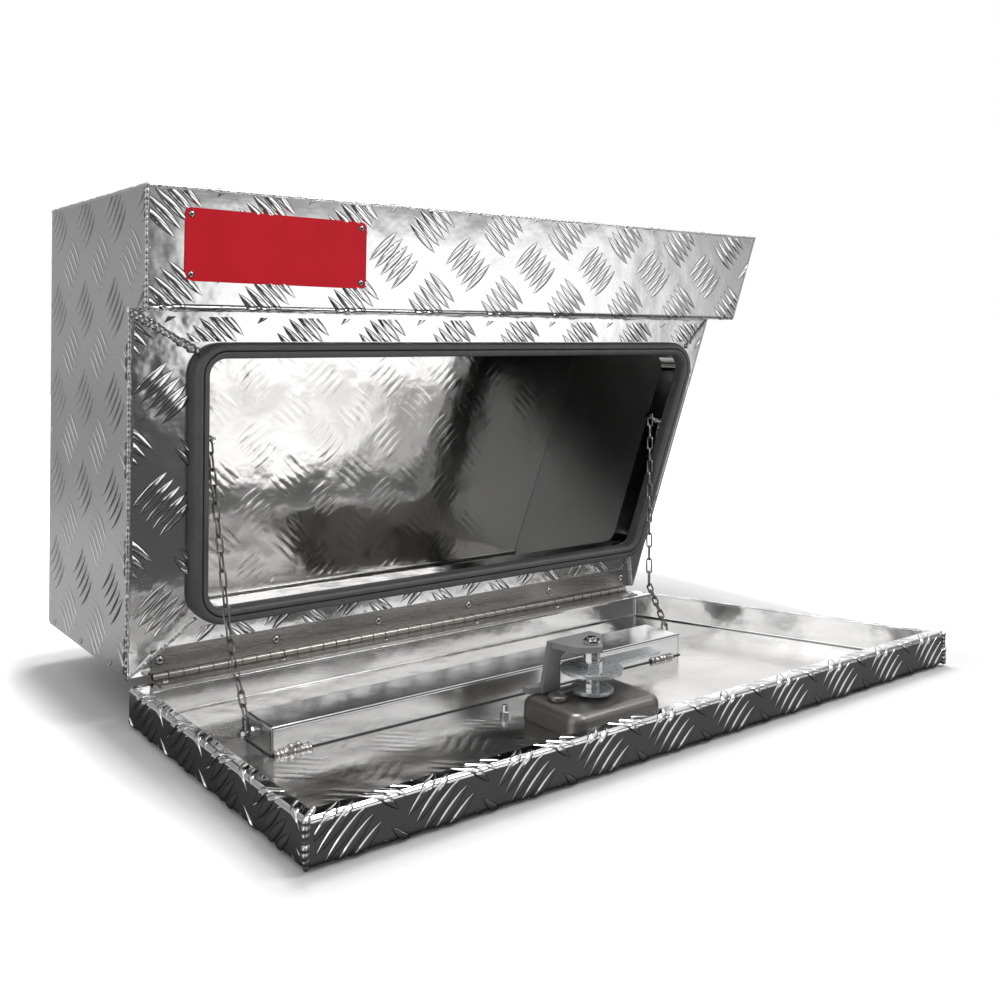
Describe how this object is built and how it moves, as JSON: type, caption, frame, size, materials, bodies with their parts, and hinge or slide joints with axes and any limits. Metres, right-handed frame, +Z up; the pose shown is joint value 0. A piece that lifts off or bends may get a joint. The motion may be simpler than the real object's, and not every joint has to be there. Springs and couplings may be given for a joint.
{
  "type": "vehicle tool box",
  "caption": "aluminium checker-plate tool box with one slanted end, an overhanging hood and a bottom-hinged drop-down door on chains with a T-handle latch",
  "frame": {"origin": "middle of the top face, by which the box hangs under a tray", "axes": "+X along the box from its upright end to its slanted end, +Y from the door to the back, +Z up"},
  "size_m": [0.75, 0.5127, 0.437],
  "materials": {
    "tread_plate": "bright five-bar tread plate",
    "bright_sheet": "bright mill finish",
    "channel_sheet": "bright mill finish",
    "hinge_steel": "brushed",
    "chrome_steel": "polished plating",
    "zinc_chain": "zinc plated",
    "cast_grey": "satin grey",
    "seal_rubber": "matte",
    "badge_red": "semi-gloss red"
  },
  "bodies": {
    "cabinet": {"left_end_plate": "tread_plate", "right_end_plate": "tread_plate", "top_plate": "tread_plate", "back_plate": "bright_sheet", "bottom_plate": "bright_sheet", "hood_front": "tread_plate", "frame_bottom": "tread_plate", "frame_right": "tread_plate", "frame_top": "tread_plate", "frame_left": "tread_plate", "door_seal": "seal_rubber", "cabinet_hinge_leaf": "hinge_steel", "hinge_pin": "hinge_steel", "cabinet_hinge_rivet_1": "chrome_steel", "cabinet_hinge_rivet_2": "chrome_steel", "cabinet_hinge_rivet_3": "chrome_steel", "cabinet_hinge_rivet_4": "chrome_steel", "cabinet_hinge_rivet_5": "chrome_steel", "cabinet_hinge_rivet_6": "chrome_steel", "badge_plate": "badge_red", "badge_rivet_1": "chrome_steel", "badge_rivet_2": "chrome_steel", "badge_rivet_3": "chrome_steel", "badge_rivet_4": "chrome_steel", "chain_bolt_left": "chrome_steel", "chain_bolt_right": "chrome_steel"},
    "door": {"door_pan": "tread_plate", "door_hinge_leaf": "hinge_steel", "door_hinge_rivet_1": "chrome_steel", "door_hinge_rivet_2": "chrome_steel", "door_hinge_rivet_3": "chrome_steel", "door_hinge_rivet_4": "chrome_steel", "door_hinge_rivet_5": "chrome_steel", "door_hinge_rivet_6": "chrome_steel", "stiffener_channel": "channel_sheet", "lock_dish": "cast_grey", "dish_stud_1": "chrome_steel", "dish_stud_2": "chrome_steel", "dish_stud_3": "chrome_steel", "dish_stud_4": "chrome_steel", "detent_lever": "cast_grey", "chain_screw_left": "chrome_steel", "chain_screw_right": "chrome_steel"},
    "latch_spindle": {"t_handle": "chrome_steel", "spindle": "chrome_steel", "stop_plate": "chrome_steel", "latch_spacer": "chrome_steel", "latch_plate": "chrome_steel", "latch_nut": "chrome_steel", "cam_sleeve": "chrome_steel", "offset_cam": "cast_grey", "cam_nut": "chrome_steel"},
    "key_barrel": {"key_barrel": "hinge_steel"},
    "left_chain_upper": {"chain_left_upper": "zinc_chain"},
    "left_chain_lower": {"chain_left_lower": "zinc_chain"},
    "right_chain_upper": {"chain_right_upper": "zinc_chain"},
    "right_chain_lower": {"chain_right_lower": "zinc_chain"}
  },
  "joints": [
    {"name": "door_hinge", "type": "hinge", "parent": "cabinet", "child": "door", "pos_m": [-0.08025, -0.0902, -0.4015], "axis": [-1, 0, 0], "range_deg": [0, 90]},
    {"name": "latch_turn", "type": "hinge", "parent": "door", "child": "latch_spindle", "pos_m": [-0.057, -0.2987, -0.415], "axis": [0, 0, -1], "range_deg": [0, 90]},
    {"name": "key_turn", "type": "hinge", "parent": "latch_spindle", "child": "key_barrel", "pos_m": [-0.057, -0.2987, -0.433], "axis": [0, 0, 1], "range_deg": [0, 90]},
    {"name": "left_chain_top", "type": "hinge", "parent": "cabinet", "child": "left_chain_upper", "pos_m": [-0.3, -0.0787, -0.21], "axis": [0.9881, -0.149, 0.0381], "range_deg": [0, 9.6]},
    {"name": "left_chain_foot", "type": "hinge", "parent": "door", "child": "left_chain_lower", "pos_m": [-0.321, -0.1967, -0.422], "axis": [-0.9805, 0.1964, -0.0098], "range_deg": [0, 38.2]},
    {"name": "right_chain_top", "type": "hinge", "parent": "cabinet", "child": "right_chain_upper", "pos_m": [0.24643, -0.0767, -0.21176], "axis": [0.3398, 0.8511, -0.4001], "range_deg": [0, 12]},
    {"name": "right_chain_foot", "type": "hinge", "parent": "door", "child": "right_chain_lower", "pos_m": [0.142, -0.1967, -0.422], "axis": [-0.7456, 0.0685, 0.6629], "range_deg": [0, 41]}
  ],
  "couplings": [
    {"joint": "left_chain_top", "follows": "door_hinge", "ratio": 0.10628},
    {"joint": "left_chain_foot", "follows": "door_hinge", "ratio": 0.42354},
    {"joint": "right_chain_top", "follows": "door_hinge", "ratio": 0.1326},
    {"joint": "right_chain_foot", "follows": "door_hinge", "ratio": 0.45514}
  ]
}
